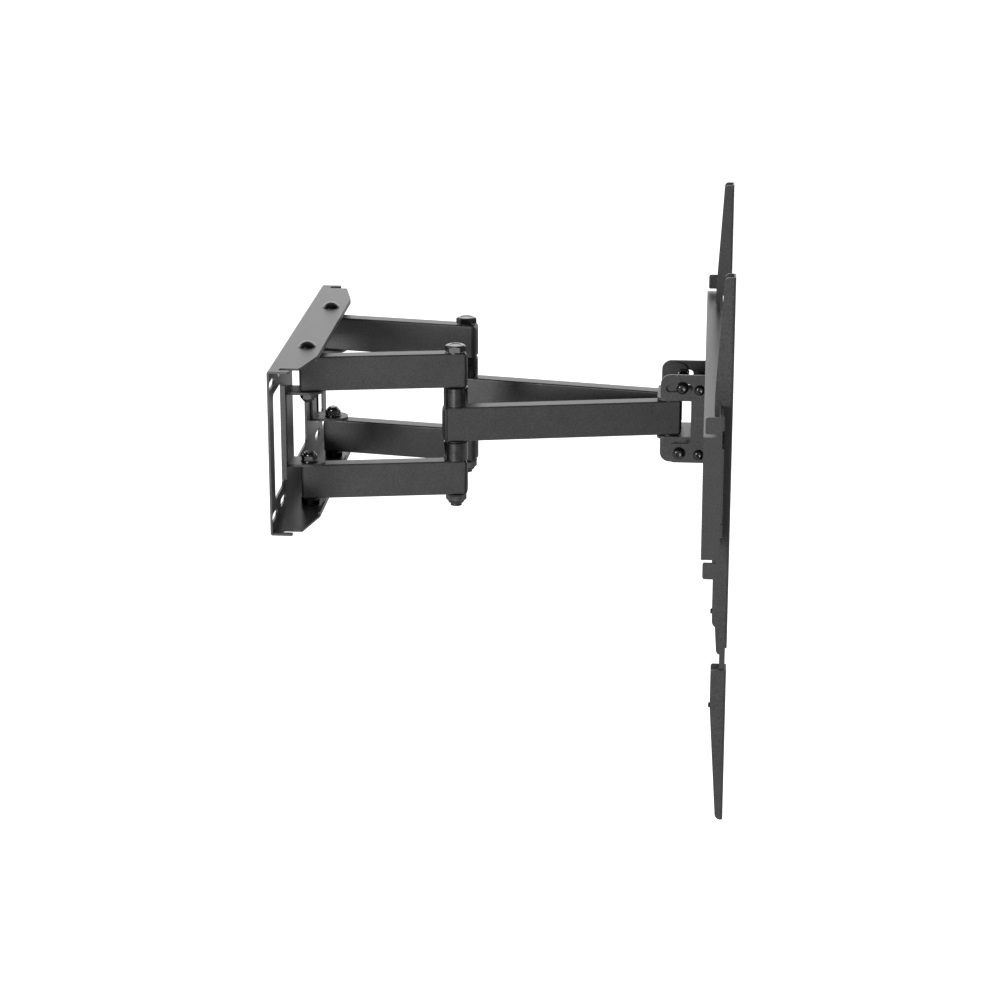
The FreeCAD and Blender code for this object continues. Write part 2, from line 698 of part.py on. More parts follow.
def channel(outline, front, y, z0, z1):
    # an upright's section: a web at the screen and two flanges of the given outline
    half = UPRIGHT_HALF_W
    inner = front - UPRIGHT_T
    web = box(inner, front, y - half, y + half, z0, z1)
    left = plate_xz(outline, y - half, y - half + UPRIGHT_T)
    right = plate_xz(outline, y + half - UPRIGHT_T, y + half)
    body = web.fuse([left, right]).removeSplitter()
    corners = [e for e in body.Edges if abs(e.BoundBox.XMin - front) < 1e-6 and e.BoundBox.XLength < 1e-6
               and e.BoundBox.YLength < 1e-6]
    return body.makeFillet(UPRIGHT_BEND, corners)


def slot_z(y, z, length):
    return window_x(y - VESA_R, y + VESA_R, z - length / 2, z + length / 2, 520, SCREEN + 1, VESA_R - 0.01)


def upright(y):
    inner = SCREEN - UPRIGHT_T
    slit_top = RAIL_TOP + 0.3
    outline = [
        (inner, UPRIGHT_TOP, 0), (TOP_BACK, UPRIGHT_TOP, 5), (HOOK_BACK, 93, 10), (HOOK_BACK, 73, 2.5),
        (518.5, 73, 1.2), (518.5, slit_top, 1), (522.5, slit_top, 1), (522.5, 75, 1), (FLANGE_BACK, 73, 1),
        (FLANGE_BACK, -75, 1), (LOWER_BACK, -75, 2.5), (LOWER_BACK, -175, 9), (FLANGE_BACK, -178, 2),
        (FLANGE_BACK, UPRIGHT_END, 4), (inner, UPRIGHT_END, 0),
    ]
    body = channel(outline, SCREEN, y, UPRIGHT_END, UPRIGHT_TOP)
    cuts = [rod_x(y, z, 520, SCREEN + 1, VESA_R) for z in VESA_Z[:2]]
    cuts += [slot_z(y, z, SLOT_LENGTH) for z in UPRIGHT_SLOTS]
    cuts += [rod_x(y, JOIN_Z[0], 520, SCREEN + 1, JOIN_HOLE_R), slot_z(y, *SHORT_SLOT)]
    return body.cut(cuts)


def extension(y):
    # a narrow tongue inside the upright, then the same wide channel as the upright
    inner = SCREEN - UPRIGHT_T
    outline = [(inner, EXTENSION_FULL, 0), (LOWER_BACK, EXTENSION_FULL, 2.5), (LOWER_BACK, -275, 12),
               (FLANGE_BACK - 0.5, EXTENSION_END, 7), (inner, EXTENSION_END, 0)]
    body = channel(outline, SCREEN, y, EXTENSION_END, EXTENSION_FULL)
    half = UPRIGHT_HALF_W - UPRIGHT_T - 0.2
    low = EXTENSION_FULL - TONGUE_LAP
    web = box(inner - UPRIGHT_T, inner, y - half, y + half, low, TONGUE_TOP)
    flanges = []
    for edge in (-half, half - UPRIGHT_T):
        flanges.append(box(FLANGE_BACK, inner - UPRIGHT_T, y + edge, y + edge + UPRIGHT_T, low, TONGUE_TOP))
    cuts = [rod_x(y, VESA_Z[2], 520, SCREEN + 1, VESA_R), rod_x(y, VESA_Z[1], 520, SCREEN, VESA_R + 0.5)]
    cuts += [slot_z(y, z, SLOT_LENGTH) for z in EXTENSION_SLOTS]
    cuts += [rod_x(y, z, 520, SCREEN + 1, JOIN_HOLE_R) for z in JOIN_Z]
    return body.fuse([web] + flanges).cut(cuts).removeSplitter()


def extension_bolts(y):
    solids = []
    for z in JOIN_Z:
        nut_face = SCREEN - 2 * UPRIGHT_T if z > EXTENSION_FULL else SCREEN - UPRIGHT_T
        solids.append(rod_x(y, z, JOIN_TIP, SCREEN, JOIN_BOLT_R))
        nut = hexagon(0, 0, 0, 5.0, 10.0).cut(rod(0, 0, -1, 6, 3.05))
        solids.append(along_x(nut, nut_face, y, z, -1))
    return together(solids)


os.makedirs("parts", exist_ok=True)

save("wall_plate", wall_plate())
save("wall_pivot_bolts", both_ends(wall_bolt))
save("wall_pivot_nuts", both_ends(wall_nut))
save("wall_pivot_spacers", both_ends(wall_spacer))

for name, side in SIDES.items():
    loose = name == "right"
    save("pivot_bracket_" + name, on_side(side, pivot_bracket()))
    save("upper_arm_" + name, on_side(side, fork_arm()))
    save("lower_arm_" + name, on_side(side, mirror_z(fork_arm())))
    save("arm_end_caps_" + name, on_side(side, fork_caps()))
    save("wall_pivot_bushes_" + name, on_side(side, fork_bushes()))
    save("elbow_bolt_" + name, on_side(side, elbow_bolt()))
    save("elbow_nut_" + name, on_side(side, elbow_nut()))
    save("elbow_spacers_" + name, on_side(side, elbow_spacers()))
    save("elbow_washers_" + name, on_side(side, elbow_washers()))
    save("forearm_" + name, on_side(side, forearm(loose)))
    save("forearm_end_caps_" + name, on_side(side, forearm_caps(loose)))
    save("elbow_bush_" + name, on_side(side, forearm_bush(ELBOW, ELBOW_BUSH_R, ELBOW_BOLT_R)))
    save("head_bolt_" + name, head_bolt(side))
    save("head_nut_" + name, head_nut(side))
    save("yoke_cheek_" + name, on_side(side, yoke_cheek()))
    save("upright_" + name, upright(side * UPRIGHT_Y))
    save("upright_extension_" + name, extension(side * UPRIGHT_Y))
    save("extension_bolts_" + name, extension_bolts(side * UPRIGHT_Y))

save("head_bush_left", on_side(-1, forearm_bush(HEAD_PIVOT, HEAD_BUSH_R, HEAD_BOLT_R)))
save("head_bracket", head_bracket())
save("head_washers", head_washers())
save("tilt_pivot_screws", tilt_screws(TILT_X, TILT_Z))
save("tilt_lock_screws", tilt_screws(LOCK_X, LOCK_Z))
save("tilt_washers", tilt_washers())
save("tilt_nuts", tilt_nuts())
save("yoke_base", yoke_base())
save("cheek_screws", cheek_screws())
save("yoke_base_screws", base_screws())
save("tv_plate", tv_plate())
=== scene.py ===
import bpy
import bmesh
import json
import math
from mathutils import Matrix, Vector


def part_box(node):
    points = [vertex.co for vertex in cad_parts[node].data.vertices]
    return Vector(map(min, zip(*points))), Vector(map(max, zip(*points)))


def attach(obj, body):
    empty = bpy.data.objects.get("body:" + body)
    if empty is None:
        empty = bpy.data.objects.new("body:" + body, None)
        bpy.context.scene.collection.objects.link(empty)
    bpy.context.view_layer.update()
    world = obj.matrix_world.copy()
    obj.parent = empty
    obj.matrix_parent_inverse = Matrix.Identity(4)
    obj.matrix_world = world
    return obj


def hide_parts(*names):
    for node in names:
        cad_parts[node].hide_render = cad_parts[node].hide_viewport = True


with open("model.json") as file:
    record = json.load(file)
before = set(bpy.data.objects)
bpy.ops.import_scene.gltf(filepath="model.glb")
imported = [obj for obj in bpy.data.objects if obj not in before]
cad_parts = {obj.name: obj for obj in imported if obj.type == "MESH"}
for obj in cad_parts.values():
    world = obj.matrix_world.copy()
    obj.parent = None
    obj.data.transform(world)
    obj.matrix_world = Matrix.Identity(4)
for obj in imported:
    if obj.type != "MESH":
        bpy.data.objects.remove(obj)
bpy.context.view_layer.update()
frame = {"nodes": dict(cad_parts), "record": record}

mm = 0.001
scene = bpy.context.scene
bodies = frame["record"]["behaviour"]["bodies"]
bodyOfNode = {node: body for body, nodes in bodies.items() for node in nodes}
slotOfNode = {part["node"]: part["material_slot"] for part in frame["record"]["subparts"]}


def boxOf(node):
    # a CAD node's lowest corner, highest corner and middle, in mm
    low, high = (Vector([round(v * 1000, 3) for v in corner]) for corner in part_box(node))
    return low, high, (low + high) / 2


def linearColour(hexText):
    # sRGB hex to the linear colour that nodes want
    values = [int(hexText[i:i + 2], 16) / 255 for i in (1, 3, 5)]
    return tuple(v / 12.92 if v <= 0.04045 else ((v + 0.055) / 1.055) ** 2.4 for v in values) + (1.0,)


def addNode(tree, kind, settings=None, inputs=None, colours=None):
    # one node with its settings; an input is a value or an output to link, colours fill a ramp
    node = tree.nodes.new(kind)
    for name, value in (settings or {}).items():
        setattr(node, name, value)
    for name, value in (inputs or {}).items():
        if isinstance(value, bpy.types.NodeSocket):
            tree.links.new(value, node.inputs[name])
        else:
            node.inputs[name].default_value = value
    for i, (position, hexText) in enumerate(colours or ()):
        node.color_ramp.elements[i].position = position
        node.color_ramp.elements[i].color = linearColour(hexText)
    return node


def startMaterial(name, shaderValues):
    material = bpy.data.materials.new(name)
    material.use_nodes = True
    tree = material.node_tree
    tree.nodes.clear()
    shader = addNode(tree, "ShaderNodeBsdfPrincipled", inputs=shaderValues)
    addNode(tree, "ShaderNodeOutputMaterial", inputs={"Surface": shader.outputs[0]})
    return material, tree, shader


def makeFinish(look):
    # one noise moves colour and roughness together, and a relief in mm lies over it
    material, tree, shader = startMaterial(look["name"], look["shader"])
    place = addNode(tree, "ShaderNodeTexCoord").outputs["Object"]
    pattern = addNode(tree, "ShaderNodeTexNoise", inputs={
        "Vector": place, "Scale": 1000 / look["patternMm"], "Detail": look["detail"],
        "Roughness": look.get("ragged", 0.5)}).outputs["Fac"]
    low, high = look["colours"]
    colour = addNode(tree, "ShaderNodeValToRGB", inputs={"Fac": pattern},
                     colours=((0.35, low), (0.65, high))).outputs["Color"]
    if "flowMm" in look:
        flow = addNode(tree, "ShaderNodeTexNoise", inputs={
            "Vector": place, "Scale": 1000 / look["flowMm"], "Detail": 2.0}).outputs["Fac"]
        shade = addNode(tree, "ShaderNodeValToRGB", inputs={"Fac": flow},
                        colours=((0.35, look["flowShade"]), (0.65, "#ffffff"))).outputs["Color"]
        colour = addNode(tree, "ShaderNodeMix", {"data_type": "RGBA", "blend_type": "MULTIPLY"},
                         {0: 0.3, 6: colour, 7: shade}).outputs[2]
    tree.links.new(colour, shader.inputs["Base Color"])
    smooth, rough = look["roughness"]
    gloss = addNode(tree, "ShaderNodeMapRange", inputs={
        "Value": pattern, "From Min": 0.3, "From Max": 0.7, "To Min": smooth, "To Max": rough})
    tree.links.new(gloss.outputs["Result"], shader.inputs["Roughness"])
    if "ringMm" in look:
        relief = addNode(tree, "ShaderNodeTexWave", {"wave_type": "BANDS", "bands_direction": "Z"}, {
            "Vector": place, "Scale": 1000 / (20 * look["ringMm"]), "Distortion": 0.6, "Detail": 1.0})
    elif "reliefMm" in look:
        relief = addNode(tree, "ShaderNodeTexNoise", inputs={
            "Vector": place, "Scale": 1000 / look["reliefMm"], "Detail": 2.0,
            "Roughness": look.get("reliefRagged", 0.5)})
    else:
        return material
    bump = addNode(tree, "ShaderNodeBump", inputs={
        "Strength": look["strength"], "Distance": look["heightMm"] * mm, "Height": relief.outputs["Fac"]})
    tree.links.new(bump.outputs[0], shader.inputs["Normal"])
    return material


# polyester powder baked on steel: charcoal, a fine sandy grain, a little uneven where it flowed;
# the real grain is about 0.2 mm and is drawn coarser, so that it shows
powderCoat = {
    "name": "powderCoatFineTexture", "shader": {"Metallic": 0.0, "IOR": 1.5, "Specular IOR Level": 0.5},
    "patternMm": 1.4, "detail": 3.0, "ragged": 0.6, "colours": ("#343434", "#4d4d4c"),
    "flowMm": 30, "flowShade": "#c9c9c9", "roughness": (0.32, 0.42),
    "reliefMm": 1.0, "reliefRagged": 0.55, "heightMm": 0.06, "strength": 0.35,
}
# injection moulded plugs: near black, satin, with a faint spark-eroded grain
mouldedPolyethylene = {
    "name": "blackPolyethyleneMoulded", "shader": {"Metallic": 0.0, "IOR": 1.51},
    "patternMm": 0.7, "detail": 2.0, "colours": ("#0d0d0e", "#161617"), "roughness": (0.38, 0.5),
    "reliefMm": 0.7, "heightMm": 0.04, "strength": 0.2,
}
# bushes and washers: natural black nylon, a little waxy
mouldedNylon = {
    "name": "blackNylonMoulded", "shader": {"Metallic": 0.0, "IOR": 1.53},
    "patternMm": 4.0, "detail": 2.0, "colours": ("#151516", "#1f1f20"), "roughness": (0.34, 0.44),
}
# fasteners: black passivated zinc, glossy, with a faint mottling from the bath
platedZinc = {
    "name": "blackZincPlated", "shader": {"Metallic": 1.0},
    "patternMm": 5.0, "detail": 3.0, "colours": ("#434345", "#515153"), "roughness": (0.15, 0.24),
    "reliefMm": 1.2, "heightMm": 0.03, "strength": 0.12,
}
# spacers: turned on a lathe and blackened, so fine rings run round them
turnedSteel = {
    "name": "blackenedSteelTurned", "shader": {"Metallic": 1.0, "Anisotropic": 0.3},
    "patternMm": 9.0, "detail": 2.0, "colours": ("#474748", "#515152"), "roughness": (0.2, 0.27),
    "ringMm": 0.8, "heightMm": 0.03, "strength": 0.25,
}
finishes = {slot: makeFinish(look) for slot, look in {
    "powder_coat": powderCoat, "black_plastic": mouldedPolyethylene, "nylon": mouldedNylon,
    "black_zinc": platedZinc, "spacer_steel": turnedSteel}.items()}
print("materials made:", len(finishes))


def finishCadNodes():
    for name, node in frame["nodes"].items():
        node.data.materials.clear()
        node.data.materials.append(finishes[slotOfNode[name]])
    print("CAD nodes finished:", len(slotOfNode))


def turnedMesh(name, rings, segments=72):
    # rings from bottom to top: (radius, height, across flats or 0), all in mm; a zero radius is a pole
    bm = bmesh.new()
    loops = []
    for radius, height, flats in rings:
        if radius == 0:
            loops.append([bm.verts.new((0, 0, height * mm))])
            continue
        loop = []
        for i in range(segments):
            angle = math.tau * i / segments
            reach = radius
            if flats:
                # distance to the hexagon's side in this direction
                off = angle % (math.pi / 3) - math.pi / 6
                reach = min(radius, flats / 2 / math.cos(off))
            x, y = reach * mm * math.cos(angle), reach * mm * math.sin(angle)
            loop.append(bm.verts.new((x, y, height * mm)))
        loops.append(loop)
    for low, high in zip(loops, loops[1:]):
        for i in range(segments):
            j = (i + 1) % segments
            if len(low) == 1:
                bm.faces.new((low[0], high[j], high[i]))
            elif len(high) == 1:
                bm.faces.new((low[i], low[j], high[0]))
            else:
                bm.faces.new((low[i], low[j], high[j], high[i]))
    return meshFrom(bm, name)


def meshFrom(bm, name, sharpDegrees=32):
    bmesh.ops.remove_doubles(bm, verts=bm.verts, dist=0.004 * mm)
    bmesh.ops.recalc_face_normals(bm, faces=bm.faces)
    for face in bm.faces:
        face.smooth = True
    mesh = bpy.data.meshes.new(name)
    bm.to_mesh(mesh)
    bm.free()
    mesh.set_sharp_from_angle(angle=math.radians(sharpDegrees))
    return mesh


def roundEdge(radius, low, high, edge, steps=5):
    # the outline of a disc's upper corner, rounded
    rings = [(radius, low, 0)]
    for i in range(steps + 1):
        angle = math.pi / 2 * i / steps
        rings.append((radius - edge + edge * math.cos(angle), high - edge + edge * math.sin(angle), 0))
    return rings


def hexBlock(across, low, high, steps=6):
    # a hexagon with its upper corners turned off at 30 degrees
    corner = across / math.sqrt(3)
    cut = corner - 0.47 * across
    fall = cut * math.tan(math.radians(30))
    rings = [(corner, low, across), (corner, high - fall, across)]
    for i in range(1, steps + 1):
        rings.append((corner - cut * i / steps, high - fall + fall * i / steps, across))
    return rings


def flangeBoltHead(across, collar, collarHigh, height):
    # cold formed head: washer collar, hexagon and a shallow dish on top
    dish = 0.34 * across
    rings = [(0, 0, 0)] + roundEdge(collar, 0, collarHigh, 0.35 * collarHigh)
    rings += hexBlock(across, collarHigh, height)
    rings += [(dish, height, 0), (dish - 0.8, height - 0.5, 0), (0, height - 0.5, 0)]
    return rings


def lockingNut(across, height, collar, collarHigh, bore):
    # flange nut with a rolled crown over its nylon ring
    crown = height * 0.24
    rings = [(0, 0, 0)] + roundEdge(collar, 0, collarHigh, 0.35 * collarHigh)
    rings += hexBlock(across, collarHigh, height - crown)
    wide = across / 2 - 0.9
    rings += [(wide, height - crown, 0)]
    rings += [(wide - 1.6 * (1 - math.cos(a)), height - crown + crown * math.sin(a), 0)
              for a in (0.3, 0.65, 1.0, 1.3, math.pi / 2)]
    rings += [(bore, height, 0), (bore, height - crown, 0), (0, height - crown, 0)]
    return rings


def plainNut(across, height, bore):
    rings = [(0, 0, 0), (across / 2, 0, 0)] + hexBlock(across, 0.25, height)
    rings += [(bore + 0.5, height, 0), (bore, height - 0.5, 0), (bore, 0.5, 0), (0, 0.5, 0)]
    return rings


def domedHead(radius, height, socket=0.0, depth=0.0, steps=14):
    # a spherical head with a rounded rim, and a hexagon socket where it has one
    rim = 0.16 * height
    rings = [(0, 0, 0), (radius - 0.3, 0, 0), (radius, 0.3, 0), (radius, rim, 0)]
    ball = (radius ** 2 + (height - rim) ** 2) / (2 * (height - rim))
    widest = math.asin(min(1.0, radius / ball))
    inner = socket / math.sqrt(3)
    for i in range(1, steps + 1):
        angle = widest * (1 - i / steps)
        reach = ball * math.sin(angle)
        if reach < inner + 0.4:
            break
        rings.append((reach, height - ball + ball * math.cos(angle), 0))
    if not socket:
        return rings + [(0, height, 0)]
    top = rings[-1][1] + 0.05
    rings += [(inner + 0.35, top, 0), (inner, top - 0.2, socket), (inner, top - depth, socket)]
    return rings + [(0, top - depth - 0.4, 0)]


def spacerTube(radius, height, edge=0.8):
    # turned, with both ends' corners broken
    return [(0, 0, 0), (radius - edge, 0, 0), (radius, edge, 0),
            (radius, height - edge, 0), (radius - edge, height, 0), (0, height, 0)]


def plainShank(radius, start, length, point=0.8):
    return [(0, start, 0), (radius, start, 0), (radius, start + length - point, 0),
            (radius - point, start + length, 0), (0, start + length, 0)]


crestShare = 0.42  # a thread crest's radius, as a share of the pitch


def newTree(name, sockets):
    # sockets: name and kind of each input after the geometry
    tree = bpy.data.node_groups.new(name, "GeometryNodeTree")
    tree.interface.new_socket("Geometry", in_out="INPUT", socket_type="NodeSocketGeometry")
    tree.interface.new_socket("Geometry", in_out="OUTPUT", socket_type="NodeSocketGeometry")
    for label, kind in sockets.items():
        tree.interface.new_socket(label, in_out="INPUT", socket_type="NodeSocket" + kind)
    return tree, addNode(tree, "NodeGroupInput").outputs


def fastenerTree():
    # a turned part on every point, looking along the point's axis, with a rolled thread on its shank
    tree, given = newTree("fastenersOnPoints", {
        "part": "Object", "finish": "Material", "threaded": "Bool", "threadRadius": "Float",
        "threadStart": "Float", "threadLength": "Float", "pitch": "Float"})
    part = addNode(tree, "GeometryNodeObjectInfo", inputs={"Object": given["part"]})
    turns = addNode(tree, "ShaderNodeMath", {"operation": "DIVIDE"}, {
        0: given["threadLength"], 1: given["pitch"]})
    helix = addNode(tree, "GeometryNodeCurveSpiral", inputs={
        "Resolution": 28, "Rotations": turns.outputs[0], "Start Radius": given["threadRadius"],
        "End Radius": given["threadRadius"], "Height": given["threadLength"]})
    crest = addNode(tree, "ShaderNodeMath", {"operation": "MULTIPLY"}, {0: given["pitch"], 1: crestShare})
    profile = addNode(tree, "GeometryNodeCurvePrimitiveCircle", inputs={
        "Resolution": 4, "Radius": crest.outputs[0]})
    thread = addNode(tree, "GeometryNodeCurveToMesh", inputs={
        "Curve": helix.outputs[0], "Profile Curve": profile.outputs[0], "Fill Caps": True})
    lift = addNode(tree, "ShaderNodeCombineXYZ", inputs={"Z": given["threadStart"]})
    raised = addNode(tree, "GeometryNodeTransform", inputs={
        "Geometry": thread.outputs[0], "Translation": lift.outputs[0]})
    rolled = addNode(tree, "GeometryNodeSwitch", {"input_type": "GEOMETRY"}, {
        "Switch": given["threaded"], "True": raised.outputs[0]})
    joined = addNode(tree, "GeometryNodeJoinGeometry")
    tree.links.new(part.outputs["Geometry"], joined.inputs[0])
    tree.links.new(rolled.outputs[0], joined.inputs[0])
    axis = addNode(tree, "GeometryNodeInputNamedAttribute", {"data_type": "FLOAT_VECTOR"}, {"Name": "axis"})
    turned = addNode(tree, "FunctionNodeAlignRotationToVector", {"axis": "Z"}, {"Vector": axis.outputs[0]})
    placed = addNode(tree, "GeometryNodeInstanceOnPoints", inputs={
        "Points": given["Geometry"], "Instance": joined.outputs[0], "Rotation": turned.outputs[0]})
    real = addNode(tree, "GeometryNodeRealizeInstances", inputs={"Geometry": placed.outputs[0]})
    dressed = addNode(tree, "GeometryNodeSetMaterial", inputs={
        "Geometry": real.outputs[0], "Material": given["finish"]})
    addNode(tree, "NodeGroupOutput", inputs={0: dressed.outputs[0]})
    return tree


def weldTree():
    # overlapping ripples along the path, each one pool of metal
    tree, given = newTree("weldAlongPath", {
        "finish": "Material", "step": "Float", "width": "Float", "seed": "Int"})
    path = addNode(tree, "GeometryNodeMeshToCurve", inputs={"Mesh": given["Geometry"]})
    spaced = addNode(tree, "GeometryNodeResampleCurve", {"mode": "LENGTH"}, {
        "Curve": path.outputs[0], "Length": given["step"]})
    pool = addNode(tree, "GeometryNodeMeshIcoSphere", inputs={"Radius": given["width"], "Subdivisions": 3})
    size = addNode(tree, "FunctionNodeRandomValue", {"data_type": "FLOAT"}, {
        2: 0.85, 3: 1.15, "Seed": given["seed"]})
    placed = addNode(tree, "GeometryNodeInstanceOnPoints", inputs={
        "Points": spaced.outputs[0], "Instance": pool.outputs[0], "Scale": size.outputs[1]})
    real = addNode(tree, "GeometryNodeRealizeInstances", inputs={"Geometry": placed.outputs[0]})
    smooth = addNode(tree, "GeometryNodeSetShadeSmooth", inputs={"Geometry": real.outputs[0]})
    dressed = addNode(tree, "GeometryNodeSetMaterial", inputs={
        "Geometry": smooth.outputs[0], "Material": given["finish"]})
    addNode(tree, "NodeGroupOutput", inputs={0: dressed.outputs[0]})
    return tree


def bakeTree(name, mesh, tree, values):
    # runs the tree on the mesh and keeps the result as a plain mesh
    source = bpy.data.objects.new(name + "Source", mesh)
    scene.collection.objects.link(source)
    modifier = source.modifiers.new("build", "NODES")
    modifier.node_group = tree
    for item in tree.interface.items_tree:
        if item.in_out == "INPUT" and item.name in values:
            modifier[item.identifier] = values[item.name]
    graph = bpy.context.evaluated_depsgraph_get()
    baked = bpy.data.meshes.new_from_object(source.evaluated_get(graph))
    source.modifiers.remove(modifier)
    bpy.data.objects.remove(source)
    baked.name = name
    return baked


def joinedMesh(name, meshes):
    bm = bmesh.new()
    for mesh in meshes:
        bm.from_mesh(mesh)
    joined = bpy.data.meshes.new(name)
    bm.to_mesh(joined)
    bm.free()
    return joined


def addPiece(name, mesh, slot, body, nodes=()):
    mesh.materials.clear()
    mesh.materials.append(finishes[slot])
    for face in mesh.polygons:
        face.material_index = 0
    piece = bpy.data.objects.new(name, mesh)
    scene.collection.objects.link(piece)
    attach(piece, body)
    if nodes:
        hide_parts(*nodes)


def pointsMesh(name, places):
    # places: (x, y, z) and axis, in mm
    mesh = bpy.data.meshes.new(name)
    mesh.from_pydata([Vector(place[0]) * mm for place in places], [], [])
    axes = mesh.attributes.new("axis", "FLOAT_VECTOR", "POINT")
    for point, place in zip(axes.data, places):
        point.vector = place[1]
    return mesh


def fastenerPiece(name, kinds, node):
    # kinds: the rings of each turned part, its places and its thread (radius, start, length, pitch)
    slot = slotOfNode[node]
    meshes = []
    for kind in kinds:
        partMesh = turnedMesh(name + "Part", kind["rings"])
        if "shank" in kind:
            shankMesh = turnedMesh("shank", plainShank(*kind["shank"]))
            partMesh = joinedMesh(name + "Part", [partMesh, shankMesh])
        part = bpy.data.objects.new(name + "Part", partMesh)
        radius, start, length, pitch = kind.get("thread", (0.0, 0.0, 0.0, 0.0))
        meshes.append(bakeTree(name, pointsMesh(name, kind["places"]), trees["fastener"], {
            "part": part, "finish": finishes[slot], "threaded": "thread" in kind,
            "threadRadius": (radius - crestShare * pitch) * mm, "threadStart": start * mm,
            "threadLength": length * mm, "pitch": pitch * mm}))
        bpy.data.objects.remove(part)
    mesh = joinedMesh(name, meshes)
    mesh.set_sharp_from_angle(angle=math.radians(32))
    addPiece(name, mesh, slot, bodyOfNode[node], [node])


trees = {"fastener": fastenerTree(), "weld": weldTree()}
up = (0, 0, 1)
down = (0, 0, -1)
sides = {"left": -1, "right": 1}


def buildWallPivots():
    pivot = {"domeRadius": 10.25, "domeHigh": 6.5, "shank": 5, "threadLength": 3.4, "pitch": 1.2,
             "nutAcross": 17, "nutHigh": 10.5, "collar": 10.4, "collarHigh": 1.6, "past": 1.5,
             "spacerRadius": 11}
    high, middle = boxOf("wall_pivot_bolts")[1:]
    x, y, plate = middle.x, high.y - pivot["domeRadius"], high.z - pivot["domeHigh"]
    earInner = boxOf("wall_pivot_nuts")[1].z
    spacerLow = boxOf("upper_arm_left")[1].z
    spacerHigh = boxOf("wall_pivot_spacers")[1].z
    corners = [(side * y, up) for side in (-1, 1)] + [(side * y, down) for side in (-1, 1)]
    deep = plate - earInner + pivot["nutHigh"] + pivot["past"]
    fastenerPiece("carriageBoltsWall", [{
        "rings": domedHead(pivot["domeRadius"], pivot["domeHigh"], steps=20),
        "shank": (pivot["shank"], -deep, deep),
        "thread": (pivot["shank"], -deep + 0.6, pivot["threadLength"], pivot["pitch"]),
        "places": [((x, at, axis[2] * plate), axis) for at, axis in corners],
    }], "wall_pivot_bolts")
    fastenerPiece("flangeNutsWall", [{
        "rings": lockingNut(pivot["nutAcross"], pivot["nutHigh"], pivot["collar"], pivot["collarHigh"],
                            pivot["shank"] + 0.2),
        "places": [((x, at, axis[2] * earInner), (0, 0, -axis[2])) for at, axis in corners],
    }], "wall_pivot_nuts")
    fastenerPiece("spacersWall", [{
        "rings": spacerTube(pivot["spacerRadius"], spacerHigh - spacerLow),
        "places": [((x, at, axis[2] * spacerLow), axis) for at, axis in corners],
    }], "wall_pivot_spacers")


def buildElbows():
    elbow = {"across": 22, "collar": 12.2, "collarHigh": 1.2, "headHigh": 8.8, "shank": 7, "point": 1.2,
             "threadLength": 14, "pitch": 1.75, "nutHigh": 12, "nutCollar": 12.9, "nutCollarHigh": 1.8,
             "spacerRadius": 14.5, "spacerEdge": 1.0}
    for side in sides:
        low, high, middle = boxOf("elbow_bolt_" + side)
        x, y, top = middle.x, middle.y, high.z - elbow["headHigh"]
        spacerLow = boxOf("elbow_washers_" + side)[1].z
        spacerHigh = boxOf("elbow_spacers_" + side)[1].z
        reach = top - low.z
        fastenerPiece("elbowFlangeBolt_" + side, [{
            "rings": flangeBoltHead(elbow["across"], elbow["collar"], elbow["collarHigh"],
                                    elbow["headHigh"]),
            "shank": (elbow["shank"], -reach, reach, elbow["point"]),
            "thread": (elbow["shank"], -reach + 1.0, elbow["threadLength"], elbow["pitch"]),
            "places": [((x, y, top), up)],
        }], "elbow_bolt_" + side)
        fastenerPiece("elbowFlangeNut_" + side, [{
            "rings": lockingNut(elbow["across"], elbow["nutHigh"], elbow["nutCollar"],
                                elbow["nutCollarHigh"], elbow["shank"] + 0.2),
            "places": [((x, y, -top), down)],
        }], "elbow_nut_" + side)
        fastenerPiece("elbowSpacers_" + side, [{
            "rings": spacerTube(elbow["spacerRadius"], spacerHigh - spacerLow, elbow["spacerEdge"]),
            "places": [((x, y, spacerLow), up), ((x, y, -spacerLow), down)],
        }], "elbow_spacers_" + side)


def buildHeadPivots():
    head = {"across": 13, "collar": 8, "collarHigh": 1.0, "high": 6, "shank": 4, "threadLength": 8,
            "pitch": 1.25, "nutHigh": 7.5, "nutCollar": 7.4}
    for side in sides:
        low, high, middle = boxOf("head_bolt_" + side)
        x, y, top = middle.x, middle.y, high.z - head["high"]
        reach = top - low.z
        fastenerPiece("headFlangeBolt_" + side, [{
            "rings": flangeBoltHead(head["across"], head["collar"], head["collarHigh"], head["high"]),
            "shank": (head["shank"], -reach, reach),
            "thread": (head["shank"], -reach + 0.6, head["threadLength"], head["pitch"]),
            "places": [((x, y, top), up)],
        }], "head_bolt_" + side)
        fastenerPiece("headFlangeNut_" + side, [{
            "rings": lockingNut(head["across"], head["nutHigh"], head["nutCollar"], head["collarHigh"],
                                head["shank"] + 0.2),
            "places": [((x, y, -top), down)],
        }], "head_nut_" + side)


def crossScrews(name, node, face, size):
    # button heads on both cheeks, looking outwards
    middle = boxOf(node)[2]
    length = face - size["tip"]
    fastenerPiece(name, [{
        "rings": domedHead(size["radius"], size["high"], size["socket"], size["depth"]),
        "shank": (size["shank"], -length, length),
        "thread": (size["shank"], -length + 0.6, size["threadLength"], size["pitch"]),
        "places": [((middle.x, sign * face, middle.z), (0, sign, 0)) for sign in (-1, 1)],
    }], node)
    return middle.x, middle.z


